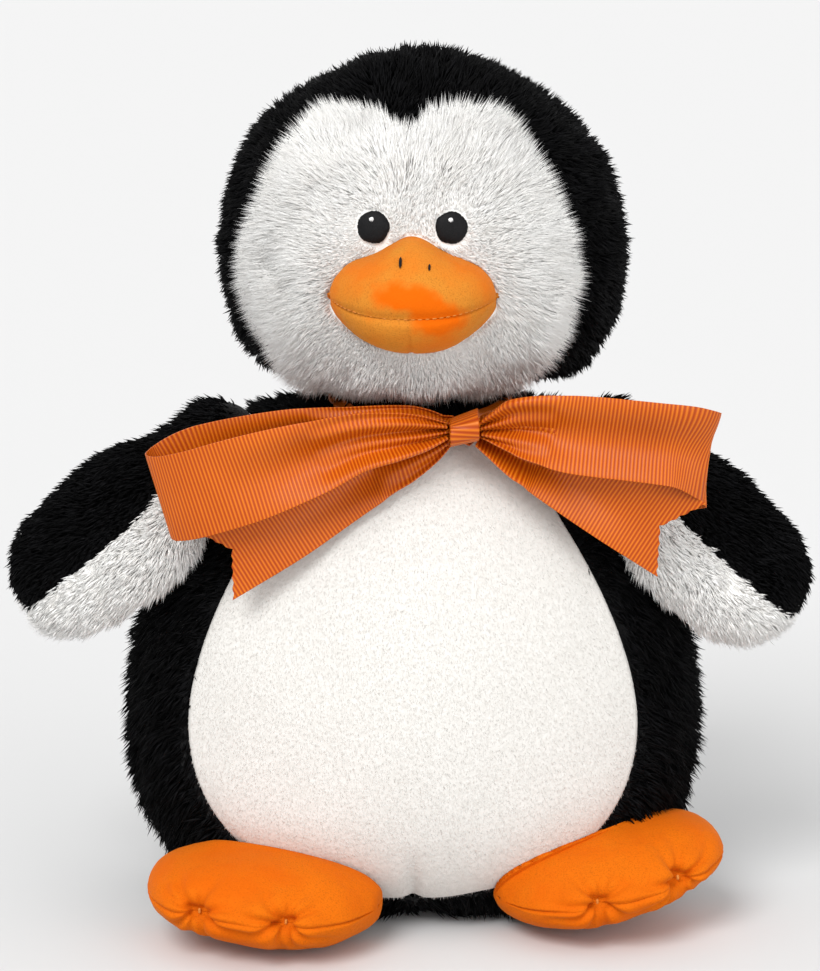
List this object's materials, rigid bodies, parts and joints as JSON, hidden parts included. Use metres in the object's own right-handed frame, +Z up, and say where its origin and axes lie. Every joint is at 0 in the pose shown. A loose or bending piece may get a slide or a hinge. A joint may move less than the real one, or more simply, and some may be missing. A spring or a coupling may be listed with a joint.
{
  "type": "plush penguin",
  "caption": "Seated plush penguin with fur body, white face and belly, velour beak and feet, soft wings and a ribbon bow at the neck.",
  "frame": {"origin": "on the floor, at the middle of the seated toy's footprint box", "axes": "+Z up, -Y to the toy's front, +X to the right as seen from the front"},
  "size_m": [0.3507, 0.2039, 0.3834],
  "materials": {
    "black_fur": "medium-pile plush fur",
    "white_fur": "long-pile plush fur",
    "belly_plush": "short smooth plush",
    "orange_velour": "brushed velour",
    "grosgrain": "ribbed grosgrain, satin",
    "fibre_fill": "loose polyester fibre",
    "pellet_bag_cotton": "plain woven cotton",
    "black_thread": "glossy embroidery thread",
    "white_thread": "embroidery thread",
    "orange_thread": "sewing thread"
  },
  "bodies": {
    "torso": {"body_fur_left": "black_fur", "body_fur_right": "black_fur", "belly_panel": "belly_plush", "body_stuffing": "fibre_fill", "pellet_bag": "pellet_bag_cotton", "closing_stitches": "black_thread", "ribbon_neck_band": "grosgrain", "ribbon_knot": "grosgrain", "ribbon_loop_left": "grosgrain", "ribbon_loop_right": "grosgrain", "ribbon_tail_left": "grosgrain", "ribbon_tail_right": "grosgrain"},
    "neck": {"neck_stuffing": "fibre_fill"},
    "head": {"hood_left": "black_fur", "hood_right": "black_fur", "face_panel": "white_fur", "head_stuffing": "fibre_fill", "beak_top": "orange_velour", "beak_bottom": "orange_velour", "beak_stuffing": "fibre_fill", "mouth_seam": "orange_thread", "nostril_stitches": "black_thread", "eye_left": "black_thread", "eye_right": "black_thread", "eye_highlights": "white_thread"},
    "wing_left": {"wing_left_outer": "black_fur", "wing_left_inner": "white_fur", "wing_left_stuffing": "fibre_fill"},
    "wing_right": {"wing_right_outer": "black_fur", "wing_right_inner": "white_fur", "wing_right_stuffing": "fibre_fill"},
    "foot_left": {"foot_left_top": "orange_velour", "foot_left_sole": "orange_velour", "foot_left_stuffing": "fibre_fill", "foot_left_gathers": "orange_thread"},
    "foot_right": {"foot_right_top": "orange_velour", "foot_right_sole": "orange_velour", "foot_right_stuffing": "fibre_fill", "foot_right_gathers": "orange_thread"}
  },
  "joints": [
    {"name": "head_nod", "type": "hinge", "parent": "torso", "child": "neck", "pos_m": [0.0035, 0.014, 0.226], "axis": [1, 0, 0], "range_deg": [-12, 8], "stiffness_Nm_per_rad": 1.2},
    {"name": "head_turn", "type": "hinge", "parent": "neck", "child": "head", "pos_m": [0.0035, 0.014, 0.226], "axis": [0, 0, 1], "range_deg": [-30, 30], "stiffness_Nm_per_rad": 0.5},
    {"name": "wing_left_raise", "type": "hinge", "parent": "torso", "child": "wing_left", "pos_m": [-0.084, -0.008, 0.212], "axis": [0.3725, 0.8192, -0.4362], "range_deg": [0, 70], "stiffness_Nm_per_rad": 0.3},
    {"name": "wing_right_raise", "type": "hinge", "parent": "torso", "child": "wing_right", "pos_m": [0.084, -0.008, 0.212], "axis": [0.3948, -0.8192, 0.4161], "range_deg": [0, 70], "stiffness_Nm_per_rad": 0.3},
    {"name": "foot_left_flex", "type": "hinge", "parent": "torso", "child": "foot_left", "pos_m": [-0.062, -0.054, 0.042], "axis": [-0.973, 0.2246, 0.0523], "range_deg": [0, 30], "stiffness_Nm_per_rad": 0.2},
    {"name": "foot_right_flex", "type": "hinge", "parent": "torso", "child": "foot_right", "pos_m": [0.081, -0.048, 0.048], "axis": [-0.9254, -0.3368, -0.1736], "range_deg": [0, 30], "stiffness_Nm_per_rad": 0.2}
  ]
}
